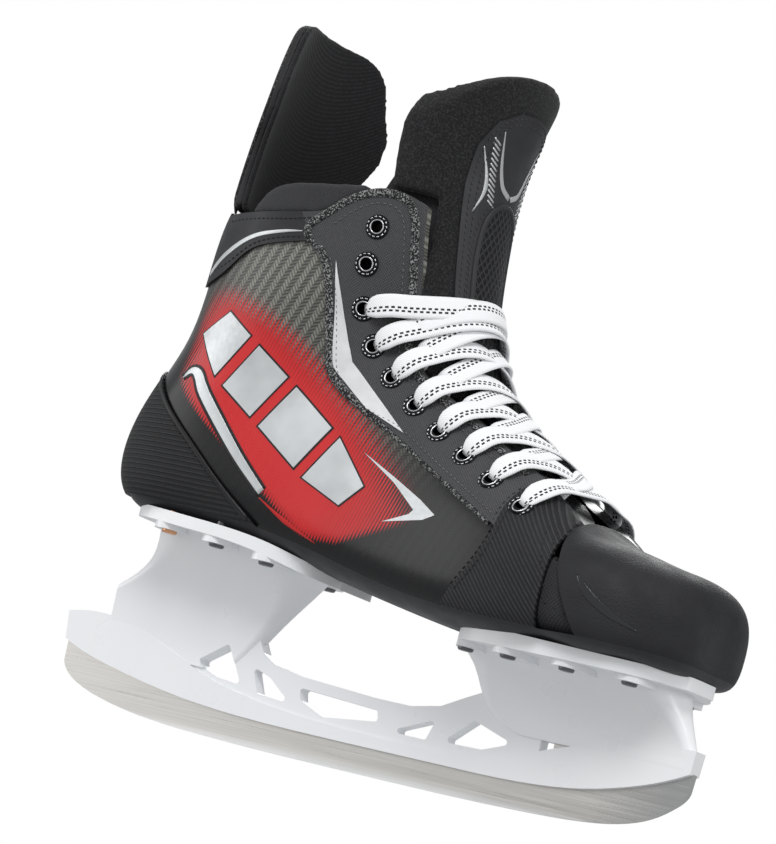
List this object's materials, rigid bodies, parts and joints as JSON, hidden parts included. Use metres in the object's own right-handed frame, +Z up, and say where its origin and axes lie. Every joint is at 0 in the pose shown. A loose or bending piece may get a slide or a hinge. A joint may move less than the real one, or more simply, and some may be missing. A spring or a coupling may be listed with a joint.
{
  "type": "ice hockey skate",
  "caption": "Right-foot ice hockey skate: laced moulded boot with felt tongue and tendon guard, riveted to a white holder with a bolted steel runner.",
  "frame": {"origin": "middle of the flat at the bottom of the runner, where the skate rests on the ice", "axes": "+X towards the toe, +Y towards the inner (medial) side, +Z up; the outer side faces -Y"},
  "size_m": [0.2895, 0.1006, 0.2861],
  "materials": {
    "sole_composite": "matte charcoal composite",
    "quarter": "moulded dark weave, satin",
    "toe_cap": "fine-grained matte",
    "overlay": "matte synthetic, stitched",
    "foam": "brushed textile over foam",
    "facing": "ribbed synthetic",
    "eyelet": "black enamel, worn rim",
    "lace": "flat woven",
    "felt": "dense felt",
    "tongue_cover": "smooth backed textile",
    "guard_shell": "moulded, matte",
    "holder": "injection moulded, semi-gloss white",
    "steel": "ground lengthwise, satin",
    "fastener_steel": "dark plated",
    "copper": "bare copper, slightly domed"
  },
  "bodies": {
    "boot": {"outsole": "sole_composite", "quarter_lateral": "quarter", "quarter_medial": "quarter", "toe_cap": "toe_cap", "vamp_guard_lateral": "overlay", "vamp_guard_medial": "overlay", "heel_counter": "overlay", "collar_band": "overlay", "collar_pad": "foam", "eyestay_lateral": "facing", "eyestay_medial": "facing", "eyelets": "eyelet", "lace": "lace", "liner": "foam", "footbed": "foam", "tongue_base": "felt", "tongue_base_cover": "tongue_cover", "tendon_guard_tab": "overlay", "blade_holder": "holder", "steel_runner": "steel", "runner_bolts": "fastener_steel", "runner_nuts": "fastener_steel", "rivets_steel": "fastener_steel", "rivets_copper": "copper"},
    "tongue": {"tongue_top": "felt", "tongue_top_cover": "tongue_cover"},
    "tendon_guard": {"tendon_guard": "guard_shell", "tendon_guard_felt": "felt"}
  },
  "joints": [
    {"name": "tongue_flex", "type": "hinge", "parent": "boot", "child": "tongue", "pos_m": [0.0045, 0, 0.196], "axis": [0, 1, 0], "range_deg": [0, 35], "stiffness_Nm_per_rad": 2},
    {"name": "tendon_guard_flex", "type": "hinge", "parent": "boot", "child": "tendon_guard", "pos_m": [-0.1125, 0, 0.2065], "axis": [0, -1, 0], "range_deg": [0, 30], "stiffness_Nm_per_rad": 6}
  ]
}
